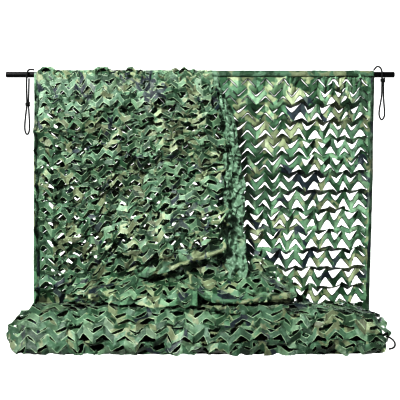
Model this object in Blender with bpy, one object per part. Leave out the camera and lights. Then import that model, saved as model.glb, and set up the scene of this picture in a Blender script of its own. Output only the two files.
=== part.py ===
"""Camouflage net hung over a plain round rod, its lower end folded down into a pile on the floor.

Metres, +Z up, X along the rod, -Y towards the viewer. The floor is z = 0 and the origin is the centre
of the object's footprint.

The net is one die-cut cloth. Its top edge goes over the rod. Over the right half it is turned in to a
short hem there; over the left half the same turning is a deep fold that hangs down in front, so the
cloth lies three deep. Below, the cloth runs forward over the pile, round its front, back along the
floor and then back and forth inside.
"""

import math

import bmesh
import bpy
import numpy as np
from mathutils import Vector

# ---- driving sizes ----
ROD_R = 0.0125  # radius of the rod
ROD_HALF = 0.868  # half its length
ROD_Y = 0.181  # its axis, behind the middle of the footprint
ROD_Z = 1.150  # its axis above the floor
ROD_EDGE = 0.0012  # eased edge of its flat ends

CLOTH_T = 0.002  # thickness of the cloth, with its print and coating
NET_X0, NET_X1 = -0.742, 0.772  # side edges of the hanging cloth
HEM_DROP = 0.022  # depth of the turned-in hem below the rod's axis
HEM_TAIL = 0.034  # how far the raw edge hangs behind the rod
OVER_BACK, OVER_TOP, OVER_FRONT = 0.0155, 0.0165, 0.0275  # the cloth's way over the rod

INNER_PASSES = 4  # passes of the cloth inside the pile
PASS_TURN = 0.016  # how far each turn of the folded cloth bulges
LIP_ROUND = 0.100  # depth of the pile's rounded front, like that of a loose roll
STATIONS = 25  # sections across the width

# Sections across the net. fold_z: height of the lower edge of the front fold. fold_out: how far that
# edge swings forward. heap: how far the slack cloth above the pile rolls forward. pile_top, pile_lip,
# pile_reach: the pile's height at the back, at the crest near its front, and its depth. sway, spread,
# front: how far to the right of the section's top its cloth has drifted where it meets the pile,
# halfway over the pile, and at the pile's front.
SECTION_COLUMNS = (
    "x", "fold_z", "fold_out", "heap", "pile_top", "pile_lip", "pile_reach", "sway", "spread", "front",
)
SECTIONS = (
    (-0.742, 0.190, 0.030, 0.000, 0.096, 0.108, 0.340, 0.000, -0.030, -0.036),
    (-0.690, 0.190, 0.042, 0.000, 0.112, 0.148, 0.368, 0.004, -0.028, -0.030),
    (-0.560, 0.194, 0.058, 0.040, 0.118, 0.166, 0.380, 0.008, -0.020, -0.018),
    (-0.400, 0.206, 0.082, 0.130, 0.120, 0.171, 0.384, 0.012, -0.010, -0.006),
    (-0.290, 0.250, 0.112, 0.180, 0.120, 0.172, 0.384, 0.016, 0.000, 0.000),
    (-0.130, 0.306, 0.130, 0.205, 0.120, 0.172, 0.385, 0.030, 0.004, 0.000),
    (0.000, 0.345, 0.124, 0.205, 0.118, 0.170, 0.384, 0.048, 0.008, -0.002),
    (0.045, 0.360, 0.096, 0.200, 0.118, 0.170, 0.384, 0.054, 0.008, -0.003),
    (0.085, 0.700, 0.040, 0.190, 0.118, 0.169, 0.384, 0.052, 0.008, -0.005),
    (0.125, 1.128, 0.000, 0.185, 0.118, 0.169, 0.384, 0.048, 0.008, -0.007),
    (0.240, 1.128, 0.000, 0.175, 0.118, 0.168, 0.383, 0.036, 0.006, -0.010),
    (0.400, 1.128, 0.000, 0.120, 0.117, 0.168, 0.384, 0.020, 0.004, -0.014),
    (0.560, 1.128, 0.000, 0.040, 0.116, 0.166, 0.380, 0.004, 0.002, -0.018),
    (0.700, 1.128, 0.000, 0.000, 0.108, 0.150, 0.366, -0.012, 0.001, -0.022),
    (0.772, 1.128, 0.000, 0.000, 0.090, 0.108, 0.338, -0.020, 0.002, -0.026),
)

# The openings in the single layer that are cut right through: the largest of its slits. up is 1 for a
# slit that opens under a peak, 0 for one that opens over a dip.
OPENING_COLUMNS = ("x", "z", "width", "height", "up")
OPENINGS = (
    (0.322, 1.088, 0.054, 0.038, 0),
    (0.528, 0.920, 0.048, 0.042, 1),
    (0.593, 0.920, 0.040, 0.050, 1),
    (0.463, 0.834, 0.044, 0.044, 1),
    (0.579, 0.831, 0.044, 0.046, 1),
    (0.473, 0.700, 0.050, 0.042, 0),
    (0.672, 0.687, 0.048, 0.040, 0),
    (0.232, 0.502, 0.048, 0.042, 1),
    (0.290, 0.409, 0.050, 0.042, 1),
    (0.358, 0.409, 0.050, 0.044, 1),
    (0.668, 0.426, 0.052, 0.040, 0),
    (0.420, 0.318, 0.048, 0.040, 1),
)

CORD_D = 0.0058  # diameter of the ties
NODE_COLOURS = {
    "rod": ((0.012, 0.012, 0.013), 0.42, 0.0),
    "net": ((0.105, 0.190, 0.105), 0.62, 0.0),
    "cord": ((0.018, 0.022, 0.020), 0.72, 0.0),
}


def clear_scene():
    for old in list(bpy.data.objects):
        bpy.data.objects.remove(old)


def material(name, key):
    colour, rough, metal = NODE_COLOURS[key]
    made = bpy.data.materials.new(name)
    made.use_nodes = True
    shader = made.node_tree.nodes["Principled BSDF"]
    shader.inputs["Base Color"].default_value = (*colour, 1.0)
    shader.inputs["Roughness"].default_value = rough
    shader.inputs["Metallic"].default_value = metal
    return made


def smooth(t):
    t = np.clip(t, 0.0, 1.0)
    return t * t * (3 - 2 * t)


def section_values(x):
    table = np.array(SECTIONS)
    return {
        name: float(np.interp(x, table[:, 0], table[:, k]))
        for k, name in enumerate(SECTION_COLUMNS)
    }


def ripple(x, z, size):
    """Soft vertical folds of the hanging cloth, none at the rod and fullest near the floor."""
    fullness = smooth((ROD_Z - z) / 0.75)
    return size * fullness * (
        math.sin(2 * math.pi * x / 0.31 + 0.8 * z)
        + 0.45 * math.sin(2 * math.pi * x / 0.173 + 2.1 + 1.7 * z)
    )


def turn(a, b, bulge):
    """The points of a half turn from a to b, a pair of (y, z), bulging sideways by bulge."""
    (ya, za), (yb, zb) = a, b
    out = []
    for k in (1, 2, 3):
        t = k / 4
        out.append((ya + (yb - ya) * t + bulge * math.sin(math.pi * t), za + (zb - za) * (1 - math.cos(math.pi * t)) / 2))
    return out


def pile_height(v, y):
    """Height of the pile's top layer at depth y in front of the rod."""
    t = np.clip((-y - 0.03) / (v["pile_reach"] - LIP_ROUND - 0.03), 0, 1)
    return v["pile_lip"] + (v["pile_top"] - v["pile_lip"]) * (1 - t**1.5)


def centreline(x):
    """The cloth's middle line at section x: rows of (y in front of the rod, z, shift in x)."""
    v = section_values(x)
    pts = []

    def add(y, z, along=None):
        """along: 0 where the cloth meets the pile, 1 at the pile's front; none while it hangs."""
        if along is None:
            shift = v["sway"] * float(np.clip((ROD_Z - z) / (ROD_Z - 0.2), 0, 1)) ** 0.7
        else:
            shift = v["sway"] * (1 - along) + v["front"] * along + v["spread"] * math.sin(math.pi * along)
        pts.append((y, z, shift))

    # the raw edge behind the rod, and over the top
    add(OVER_BACK + 0.001, ROD_Z - HEM_TAIL)
    for k in range(8):
        a = math.pi * k / 7
        half = OVER_BACK if a < math.pi / 2 else OVER_FRONT
        add(half * math.cos(a), ROD_Z + OVER_TOP * math.sin(a) - 0.002 * (k == 7))

    # down the front of the fold, or of the hem
    deep = ROD_Z - v["fold_z"] - HEM_DROP  # 0 over the right half
    open_up = smooth(deep / 0.25)
    zs = np.linspace(ROD_Z - 0.008, v["fold_z"], 9)[1:]
    front = []
    for z in zs:
        flare = smooth((v["fold_z"] + 0.34 - z) / 0.34) * v["fold_out"]
        y = -OVER_FRONT - open_up * (0.030 * smooth((ROD_Z - z) / 0.14) + ripple(x, z, 0.006)) - flare * open_up
        front.append((y, z))
    for y, z in front:
        add(y, z)
    # the turn at the bottom of the fold
    inner_y = front[-1][0] + 0.006 + open_up * 0.016
    back = []
    for z in np.linspace(v["fold_z"] + 0.004 * open_up, ROD_Z - 0.012, 7):
        flare = smooth((v["fold_z"] + 0.34 - z) / 0.34) * v["fold_out"]
        y = -0.0215 - open_up * (0.014 * smooth((ROD_Z - z) / 0.14) + ripple(x, z, 0.005)) - flare * open_up * 0.93
        back.append((y, z))
    back[0] = (inner_y, back[0][1])
    mid_y = (front[-1][0] + inner_y) / 2
    add(mid_y, v["fold_z"] - 0.003 - 0.006 * open_up)
    for y, z in back:
        add(y, z)
    # the small turn under the rod, then the main fall of cloth behind the fold
    add(-0.0185, ROD_Z - 0.0085)
    top, low = ROD_Z - 0.012, v["pile_top"] + 0.030 + 0.6 * v["heap"]
    for k in range(11):
        z = top + (low - top) * k / 10
        fade = smooth((ROD_Z - z) / 0.1)
        add(-0.0155 - fade * (0.0035 + ripple(x, z, 0.0038)), z)
    # the slack above the pile, rolled forward
    foot = v["pile_top"] + 0.008
    fall_y = pts[-1][0]
    for k in range(1, 6):
        t = k / 6
        add(fall_y + (-0.030 - fall_y) * t - v["heap"] * math.sin(math.pi * t) ** 0.8, low + (foot - low) * t, 0.0)
    # forward over the pile and down its front
    reach = v["pile_reach"]
    add(-0.030, foot, 0.0)
    for k in range(1, 8):
        y = -0.030 - (reach - LIP_ROUND - 0.030) * k / 7
        add(y, pile_height(v, y), 0.9 * k / 7)
    lip = v["pile_lip"]
    for k in range(1, 6):
        a = math.pi / 2 * k / 6
        y = -(reach - LIP_ROUND) - LIP_ROUND * math.sin(a)
        add(y, lip * (0.42 + 0.58 * math.cos(a)), 0.9 + 0.1 * k / 5)
    add(-(reach + 0.001), lip * 0.30, 1.0)
    add(-(reach - 0.006), CLOTH_T * 3.2, 1.0)
    add(-(reach - 0.020), CLOTH_T / 2, 1.0)
    # flat along the floor to the back
    for k in range(1, 4):
        add(-(reach - 0.020) + (reach - 0.065) * k / 3, CLOTH_T / 2, 1.0 - k / 5)
    # back and forth inside
    last = pts[-1][:2]
    for p in range(1, INNER_PASSES + 1):
        forward = p % 2 == 1
        y_back, y_front = -0.045, -(reach - 0.052 - 0.006 * p)
        ys = np.linspace(y_back, y_front, 4)
        if not forward:
            ys = ys[::-1]
        row = [(y, CLOTH_T + pile_height(v, y) * p / (INNER_PASSES + 1)) for y in ys]
        for y, z in turn(last, row[0], PASS_TURN if forward else -PASS_TURN):
            add(y, z, 0.35 if forward else 0.85)
        for y, z in row:
            add(y, z, 0.35 + 0.5 * (y - y_back) / (y_front - y_back))
        last = row[-1]
    return np.array(pts)


def sides(line, half):
    """The two faces of the cloth: the middle line moved half a thickness to each side."""
    d = np.diff(line, axis=0)
    d /= np.linalg.norm(d, axis=1)[:, None]
    n = np.stack([-d[:, 1], d[:, 0]], 1)
    first, last = n[:1], n[-1:]
    joint = n[:-1] + n[1:]
    joint /= np.linalg.norm(joint, axis=1)[:, None]
    scale = 1 / np.clip((joint * n[:-1]).sum(1), 0.75, 1)
    n = np.concatenate([first, joint * scale[:, None], last])
    return line + n * half, line - n * half


def add_object(name, mesh_or_curve, mat, smooth_angle=None):
    obj = bpy.data.objects.new(name, mesh_or_curve)
    bpy.context.scene.collection.objects.link(obj)
    obj.data.materials.append(mat)
    if smooth_angle is not None:
        obj.data.shade_smooth()
        obj.data.set_sharp_from_angle(angle=math.radians(smooth_angle))
    return obj


def net_mesh():
    """The whole cloth as one closed solid: the section's two faces, lofted across the width."""
    xs = np.unique(
        np.round(
            np.concatenate(
                [
                    np.linspace(NET_X0, 0.0, 12),
                    [0.045, 0.085, 0.125],
                    np.linspace(0.190, NET_X1, STATIONS - 15),
                ]
            ),
            5,
        )
    )
    bm = bmesh.new()
    rings = []
    for x in xs:
        line = centreline(x)
        outer, inner = sides(line[:, :2], CLOTH_T / 2)
        ring = []
        for face in (outer, inner):
            ring.append(
                [
                    bm.verts.new((x + shift, ROD_Y + y, max(z, 0.0)))
                    for (y, z), shift in zip(face, line[:, 2])
                ]
            )
        rings.append(ring)
    n = len(rings[0][0])
    for a, b in zip(rings[:-1], rings[1:]):
        for j in range(n - 1):
            bm.faces.new((a[0][j], b[0][j], b[0][j + 1], a[0][j + 1]))
            bm.faces.new((a[1][j], a[1][j + 1], b[1][j + 1], b[1][j]))
        bm.faces.new((a[0][0], a[1][0], b[1][0], b[0][0]))
        bm.faces.new((a[0][-1], b[0][-1], b[1][-1], a[1][-1]))
    for ring, flip in ((rings[0], False), (rings[-1], True)):
        for j in range(n - 1):
            quad = (ring[0][j], ring[0][j + 1], ring[1][j + 1], ring[1][j])
            bm.faces.new(quad[::-1] if flip else quad)
    bmesh.ops.recalc_face_normals(bm, faces=bm.faces)
    mesh = bpy.data.meshes.new("net")
    bm.to_mesh(mesh)
    bm.free()
    return mesh


def opening_cutter(name, row):
    """A prism through the cloth: a broad arrowhead, point up or point down."""
    o = dict(zip(OPENING_COLUMNS, row))
    w, h = o["width"] / 2, o["height"] / 2
    outline = [(-w, -0.75 * h), (-0.1 * w, -0.5 * h), (w, -h), (0.30 * w, 0.55 * h), (0.0, h), (-0.42 * w, 0.55 * h)]
    if not o["up"]:
        outline = [(px, -pz) for px, pz in outline][::-1]
    bm = bmesh.new()
    ring = [bm.verts.new((o["x"] + px, ROD_Y - 0.075, o["z"] + pz)) for px, pz in outline]
    face = bm.faces.new(ring)
    grown = bmesh.ops.extrude_face_region(bm, geom=[face])
    far = [g for g in grown["geom"] if isinstance(g, bmesh.types.BMVert)]
    bmesh.ops.translate(bm, verts=far, vec=Vector((0, 0.110, 0)))
    bmesh.ops.recalc_face_normals(bm, faces=bm.faces)
    mesh = bpy.data.meshes.new(name)
    bm.to_mesh(mesh)
    bm.free()
    cutter = bpy.data.objects.new(name, mesh)
    bpy.context.scene.collection.objects.link(cutter)
    cutter.hide_render = True
    cutter.display_type = "WIRE"
    return cutter


def build_rod(mat):
    bm = bmesh.new()
    bmesh.ops.create_cone(
        bm, cap_ends=True, cap_tris=False, segments=32, radius1=ROD_R, radius2=ROD_R, depth=2 * ROD_HALF
    )
    rims = [e for e in bm.edges if abs(e.verts[0].co.z - e.verts[1].co.z) < 1e-6]
    bmesh.ops.bevel(bm, geom=rims, offset=ROD_EDGE, segments=2, profile=0.5, affect="EDGES")
    mesh = bpy.data.meshes.new("rod")
    bm.to_mesh(mesh)
    bm.free()
    rod = add_object("rod", mesh, mat, 35)
    rod.location = (0.0, ROD_Y, ROD_Z)
    rod.rotation_euler = (0.0, math.pi / 2, 0.0)
    return rod


def through(points, step):
    """A smooth curve through the given points, read at about every step."""
    p = np.array(points, float)
    p = np.concatenate([2 * p[:1] - p[1:2], p, 2 * p[-1:] - p[-2:-1]])
    dense = []
    for i in range(1, len(p) - 2):
        for t in np.linspace(0, 1, 40, endpoint=False):
            a, b, c, d = p[i - 1 : i + 3]
            dense.append(
                0.5 * (2 * b + (c - a) * t + (2 * a - 5 * b + 4 * c - d) * t**2 + (3 * b - a - 3 * c + d) * t**3)
            )
    dense = np.array(dense + [p[-2]])
    along = np.concatenate([[0], np.cumsum(np.linalg.norm(np.diff(dense, axis=0), axis=1))])
    at = np.linspace(0, along[-1], max(4, int(round(along[-1] / step)) + 1))
    return np.stack([np.interp(at, along, dense[:, k]) for k in range(3)], 1)


# Routes of the ties, as (x, y in front of the rod's axis, z above the rod's axis or the floor).
LEFT_TIE = (
    (-0.7450, 0.0080, 0.0225),
    (-0.7530, 0.0040, 0.0240),
    (-0.7610, -0.0050, 0.0230),
    (-0.7665, -0.0155, 0.0170),
    (-0.7695, -0.0222, 0.0040),
    (-0.7710, -0.0225, -0.0150),
    (-0.7725, -0.0210, -0.0500),
    (-0.7720, -0.0195, -0.0900),
    (-0.7712, -0.0190, -0.1330),
    (-0.7750, -0.0192, -0.1700),
    (-0.7800, -0.0194, -0.2200),
    (-0.7790, -0.0195, -0.2520),
    (-0.7700, -0.0196, -0.2685),
    (-0.7610, -0.0196, -0.2540),
    (-0.7595, -0.0195, -0.2200),
    (-0.7620, -0.0194, -0.1700),
    (-0.7640, -0.0193, -0.1330),
    (-0.7630, -0.0195, -0.0900),
    (-0.7620, -0.0205, -0.0500),
    (-0.7610, -0.0215, -0.0180),
)
RIGHT_TIE = (
    (0.7740, -0.0120, 0.0190),
    (0.7830, -0.0080, 0.0300),
    (0.7930, 0.0000, 0.0370),
    (0.8030, -0.0100, 0.0310),
    (0.8080, -0.0205, 0.0120),
    (0.8085, -0.0205, -0.0200),
    (0.8080, -0.0200, -0.0600),
    (0.8075, -0.0195, -0.0900),
    (0.8035, -0.0195, -0.1200),
    (0.7965, -0.0195, -0.1600),
    (0.7968, -0.0195, -0.1860),
    (0.8075, -0.0195, -0.2030),
    (0.8190, -0.0195, -0.1860),
    (0.8195, -0.0195, -0.1600),
    (0.8165, -0.0195, -0.1200),
    (0.8155, -0.0195, -0.0900),
    (0.8155, -0.0200, -0.0600),
    (0.8158, -0.0205, -0.0220),
)
FLOOR_TIE = (
    (0.7560, -0.2750, 0.0540),
    (0.7640, -0.2880, 0.0550),
    (0.7730, -0.3020, 0.0510),
    (0.7790, -0.3160, 0.0420),
    (0.7760, -0.3280, 0.0310),
    (0.7640, -0.3340, 0.0240),
    (0.7500, -0.3330, 0.0210),
)


def tie_points(route, base_z):
    return through([(x, ROD_Y + y, base_z + z) for x, y, z in route], CORD_D * 2.2)


def build_tie(name, route, base_z, mat):
    curve = bpy.data.curves.new(name, "CURVE")
    curve.dimensions = "3D"
    curve.bevel_depth = CORD_D / 2
    curve.bevel_resolution = 2
    curve.use_fill_caps = True
    pts = tie_points(route, base_z)
    spline = curve.splines.new("POLY")
    spline.points.add(len(pts) - 1)
    for point, co in zip(spline.points, pts):
        point.co = (*co, 1.0)
    return add_object(name, curve, mat)


def main():
    clear_scene()
    cloth = material("net_cloth", "net")
    black = material("rod_black", "rod")
    cord = material("cord_black", "cord")
    build_rod(black)
    net = add_object("net", net_mesh(), cloth, 60)
    for k, row in enumerate(OPENINGS):
        cut = net.modifiers.new(f"opening_{k + 1:02d}", "BOOLEAN")
        cut.operation = "DIFFERENCE"
        cut.solver = "EXACT"
        cut.object = opening_cutter(f"opening_cutter_{k + 1:02d}", row)
    build_tie("tie_left", LEFT_TIE, ROD_Z, cord)
    build_tie("tie_right", RIGHT_TIE, ROD_Z, cord)
    build_tie("tie_floor", FLOOR_TIE, 0.0, cord)


main()
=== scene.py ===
"""Looks of the camouflage net on its rod: a slit cloth that is hung, gathered and piled by a small
position-based solver, with a woodland print drawn in its nodes, its hems and its ties.

Metres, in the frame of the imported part. The net's cloth carries its own flat coordinates in a UV map,
so the print stays on the cloth wherever it folds.
"""

import math

import bpy
import numpy as np
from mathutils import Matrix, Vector


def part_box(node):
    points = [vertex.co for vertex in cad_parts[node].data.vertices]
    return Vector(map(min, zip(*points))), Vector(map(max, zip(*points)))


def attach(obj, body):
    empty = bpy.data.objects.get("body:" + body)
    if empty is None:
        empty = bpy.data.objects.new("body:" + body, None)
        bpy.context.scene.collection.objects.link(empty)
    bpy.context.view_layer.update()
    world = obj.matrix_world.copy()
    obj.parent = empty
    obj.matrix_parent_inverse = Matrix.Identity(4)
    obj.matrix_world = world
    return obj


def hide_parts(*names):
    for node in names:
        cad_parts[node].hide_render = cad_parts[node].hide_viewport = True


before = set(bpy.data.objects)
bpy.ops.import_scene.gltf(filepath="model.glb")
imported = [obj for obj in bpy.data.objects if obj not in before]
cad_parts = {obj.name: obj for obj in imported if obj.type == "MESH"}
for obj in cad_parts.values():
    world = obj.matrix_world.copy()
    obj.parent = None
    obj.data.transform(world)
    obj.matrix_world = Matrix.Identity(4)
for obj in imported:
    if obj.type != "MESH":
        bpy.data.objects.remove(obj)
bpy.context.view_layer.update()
ROD_LOW, ROD_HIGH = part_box("rod")
ROD_Y = (ROD_LOW.y + ROD_HIGH.y) / 2
ROD_Z = (ROD_LOW.z + ROD_HIGH.z) / 2
ROD_R = (ROD_HIGH.z - ROD_LOW.z) / 2

# ---- the die-cut pattern, in the flat cloth ----
PITCH = 0.080  # across
ROW = 0.076  # down: one row of peaked slits and one of dipped slits
ZIG = 0.019  # half height of the zigzag the slits lie on
STOPS = (0.0, 0.006, 0.013, 0.020, 0.027, 0.034, 0.040, 0.050, 0.056, 0.062, 0.068, 0.074)
PEAK_FROM, PEAK_TO = 7 - 12, 6  # stops where a peaked slit starts and ends, about its peak
DIP_FROM, DIP_TO = 2, 12  # stops of a dipped slit
STEPS = 8  # mesh rows in one row of the pattern


def smooth(t):
    t = np.clip(t, 0.0, 1.0)
    return t * t * (3 - 2 * t)


def zigzag(u):
    th = 2 * math.pi * u / PITCH
    return ZIG * (np.cos(th) + np.cos(3 * th) / 9) / 1.111


class Sheet:
    """A slit cloth as a grid whose points are doubled along every slit."""

    def __init__(self, cols, rows, band_l=0.022, band_r=0.022, band_t=0.0, band_b=0.0, tail=0.0, first=1, slits=True, fade_t=True, fade_b=True, flat_lines=False):
        stops = [band_l + 0.030 + PITCH * c + s for c in range(-1, cols + 1) for s in STOPS]
        stops = [s for s in stops if s > band_l + 0.003]
        width = band_l + 0.030 + PITCH * cols + tail + band_r
        left = list(np.linspace(0, band_l, max(2, int(round(band_l / 0.011)) + 1))) if band_l else [0.0]
        right = list(np.linspace(width - band_r, width, max(2, int(round(band_r / 0.011)) + 1))) if band_r else [width]
        stops = [s for s in stops if s < width - band_r - 0.003]
        self.us = np.array(left + stops + right)
        self.cols, self.rows = cols, rows
        peak0 = band_l + 0.030  # the first peak
        self.peak0 = peak0
        n_t = int(round(band_t / 0.011)) if band_t else 0
        n_b = int(round(band_b / 0.011)) if band_b else 0
        base = [band_t * k / n_t for k in range(n_t)] + [band_t + ROW * k / STEPS for k in range(rows * STEPS + 1)]
        last = base[-1]
        base += [last + band_b * (k + 1) / n_b for k in range(n_b)]
        self.base = np.array(base)
        self.width, self.length = width, self.base[-1]
        self.band_l, self.band_r, self.band_t = band_l, band_r, band_t
        self.first = first if slits else 2 * rows
        ni, nj = len(self.us), len(self.base)
        self.ni, self.nj = ni, nj
        above = np.arange(ni * nj).reshape(nj, ni)  # the copy that belongs to the cloth above the line
        below = above.copy()
        u, w = np.meshgrid(self.us, self.base)
        ramp = np.ones(nj)
        if fade_t:
            ramp *= smooth((self.base - band_t) / 0.055)
        if fade_b:
            ramp *= smooth((last - self.base) / 0.055)
        side = smooth((self.us - band_l) / 0.02) * smooth((width - band_r - self.us) / 0.02)
        w = w - zigzag(u - peak0) * ramp[:, None] * side[None, :] * (0.0 if flat_lines else 1.0)
        flat = [np.stack([u, w], -1).reshape(-1, 2)]
        n = ni * nj
        i_of = {round(float(s), 5): i for i, s in enumerate(self.us)}
        lo_i, hi_i = len(left) - 1, ni - len(right)
        masks = np.zeros((2 * rows + 2, ni))
        joined = []
        if slits:
            for k in range(first, 2 * rows):
                j = n_t + k * STEPS // 2
                peaked = k % 2 == 0
                for c in range(-1, cols + 1):
                    f, t = (PEAK_FROM, PEAK_TO) if peaked else (DIP_FROM, DIP_TO)
                    us = []
                    for s in range(f, t + 1):
                        us.append(peak0 + PITCH * (c + s // 12) + STOPS[s % 12])
                    ids = [i_of.get(round(float(x), 5)) for x in us]
                    ids = [i for i in ids if i is not None and lo_i < i < hi_i]
                    if len(ids) < 5:
                        continue
                    inner = ids[1:-1]
                    below[j, inner] = n + np.arange(len(inner))
                    flat.append(np.stack([u[j, inner], w[j, inner]], -1))
                    n += len(inner)
                    at = self.us[ids]
                    masks[k, ids] = smooth(np.minimum(at - at[0], at[-1] - at) / 0.016)
                joined += [j * ni + i for i in range(lo_i + 2, hi_i - 1) if above[j, i] == below[j, i]]
        self.above, self.below = above, below
        self.flat = np.concatenate(flat)
        self.n = n
        self.grid_j = np.empty(n, int)
        self.grid_i = np.empty(n, int)
        self.grid_j[above.ravel()] = np.repeat(np.arange(nj), ni)
        self.grid_i[above.ravel()] = np.tile(np.arange(ni), nj)
        self.grid_j[below.ravel()] = np.repeat(np.arange(nj), ni)
        self.grid_i[below.ravel()] = np.tile(np.arange(ni), nj)
        a, b = below[:-1, :-1].ravel(), below[:-1, 1:].ravel()
        c, d = above[1:, 1:].ravel(), above[1:, :-1].ravel()
        self.quads = np.stack([a, d, c, b], 1)
        self.bridges = np.array(joined, int)
        # the strip each point is in, how far down it, and how free its upper and lower edges are
        line = (self.grid_j - n_t) / (STEPS / 2)
        upper = np.zeros(n, bool)
        upper[above[above != below]] = True
        self.strip = np.clip(np.where(upper, line - 1, np.floor(line)), 0, 2 * rows - 1).astype(int)
        self.t = np.clip(line - self.strip, 0, 1)
        self.top_mask = masks[self.strip, self.grid_i]
        self.low_mask = masks[self.strip + 1, self.grid_i]
        self.rim = np.zeros(n, np.float32)
        dup = above != below
        self.rim[above[dup]] = 1
        self.rim[below[dup]] = 1
        self.links()
        self.legs()

    def flaps(self, seed, turn, twist, together=0.7, bias=0.0, least=0.35, yaw=0.25, bulge=0.0, shingle=0.0):
        """How far each point leans out of the cloth and how far it rises in it.

        A strip that lies under peaked slits turns about its level middle line: each of its tongues has a
        turn of its own of up to turn, the same way as its neighbours as far as together says. The legs of
        the strips that hang between twist by up to twist, their lower edges outward as far as shingle
        says, and stand out by up to bulge.
        """
        half = ROW / 2
        u = self.flat[:, 0]
        v = (u - self.peak0) / PITCH
        h = (self.strip + 0.5) * half - (self.flat[:, 1] - self.band_t)
        upper = (h > 0).astype(int)
        joint = np.where(upper == 1, 0.5625, 0.0813)
        cell = np.floor(v - joint).astype(int)
        row, col = self.strip, cell + 4
        rng = np.random.default_rng(seed)
        size = (2 * self.rows + 2, self.cols + 9, 2)
        own, much, askew = rng.uniform(-1, 1, size), rng.uniform(least, 1, size), rng.uniform(-1, 1, size)
        grid = np.stack(np.meshgrid(np.arange(size[1]) * PITCH, np.arange(size[0]) * half, indexing="xy"), -1).reshape(-1, 2)
        slow = np.tanh(3.0 * (soft_noise(grid, seed, 0.28) + bias)).reshape(size[0], size[1], 1)
        way = np.sign(together * slow + (1 - together) * own * 1.5)
        angle = (way * much)[row, col, upper]
        away = np.abs(h) / half
        lying = self.strip % 2 == 0
        cut = (self.strip >= self.first) & (self.strip < 2 * self.rows - 1)
        side = smooth((u - self.band_l - 0.004) / 0.03) * smooth((self.width - self.band_r - 0.004 - u) / 0.03)
        angle = np.where(lying & cut, turn * angle * (0.8 + 0.4 * away), 0.0) * side
        lean = h * np.sin(angle)
        rise = -h * (1 - np.cos(angle))
        centre = self.peak0 + (cell + joint + 0.5) * PITCH
        lean = lean + np.where(lying & cut, yaw * askew[row, col, upper] * (u - centre) * away, 0.0) * side
        edge = (1 - self.t) * self.top_mask + self.t * self.low_mask
        leg = (v - 0.0813) * 2
        number = np.floor(leg).astype(int)
        bit, col2 = number % 2, number // 2 + 4
        phi = np.where(lying | ~cut, 0.0, twist * (shingle + (1 - shingle) * np.sign(own) * much)[row, col2, bit]) * edge * side
        across = (self.t - 0.5) * half
        lean = lean + across * np.sin(phi)
        rise = rise + across * (1 - np.cos(phi))
        out = np.where(lying | ~cut, 0.0, bulge * askew[row, col2, bit] * np.sin((leg - number) * math.pi)) * side
        return lean + out, rise

    def legs(self):
        """The leg each face belongs to, and the pairs of leg and point."""
        j, i = np.divmod(np.arange(len(self.quads)), self.ni - 1)
        n_t = int(round(self.band_t / 0.011)) if self.band_t else 0
        strip = np.clip((j - n_t) // (STEPS // 2), -1, 2 * self.rows) + 1
        middle = (self.us[:-1] + self.us[1:]) / 2
        across = np.floor((middle - self.peak0) / (PITCH / 2) + 1e-6).astype(int) + 6
        self.leg = strip * 1000 + across[i]
        names, self.leg = np.unique(self.leg, return_inverse=True)
        pairs = np.unique(np.stack([np.repeat(self.leg, 4), self.quads.ravel()], 1), axis=0)
        self.leg_pairs = pairs
        self.leg_count = len(names)
        self.leg_share = np.bincount(pairs[:, 1], minlength=self.n)[:, None].astype(float)

    def tilts(self, seed, amount):
        """A lean of its own for every leg, averaged where legs meet."""
        rng = np.random.default_rng(seed)
        leg, point = self.leg_pairs.T
        count = np.bincount(leg)[:, None]
        centre = np.stack([np.bincount(leg, self.flat[point, k]) for k in (0, 1)], 1) / count
        slope = rng.uniform(-1, 1, (self.leg_count, 2))
        lean = ((self.flat[point] - centre[leg]) * slope[leg]).sum(1)
        return amount * np.bincount(point, lean, self.n) / self.leg_share[:, 0]

    def flatten(self, x, share, passes=2):
        """Moves the points of every leg towards one plane, so that the cloth breaks along its creases."""
        leg, point = self.leg_pairs.T
        count = np.bincount(leg)[:, None]
        x = np.asarray(x, float)
        for _ in range(passes):
            centre = np.stack([np.bincount(leg, x[point, k]) for k in range(3)], 1) / count
            d = x[point] - centre[leg]
            spread = np.stack([np.bincount(leg, d[:, a] * d[:, b]) for a in range(3) for b in range(3)], 1)
            _, axes = np.linalg.eigh(spread.reshape(-1, 3, 3))
            normal = axes[:, :, 0]
            off = (d * normal[leg]).sum(1)[:, None] * normal[leg]
            move = np.stack([np.bincount(point, off[:, k], self.n) for k in range(3)], 1) / self.leg_share
            x = x - np.reshape(share, (-1, 1)) * move
        return x

    def links(self):
        """Distance links in sets that share no point: edges, diagonals, then the wider ones that resist bending."""
        ab, be = self.above, self.below
        sets = []

        def put(a, b, stiff, kind):
            a, b = a.ravel(), b.ravel()
            if len(a) == 0:
                return
            rest = np.linalg.norm(self.flat[a] - self.flat[b], axis=1)
            keep = (a != b) & (rest > 1e-6)
            sets.append((a[keep], b[keep], rest[keep].astype(np.float32)[:, None], stiff, kind))

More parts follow.
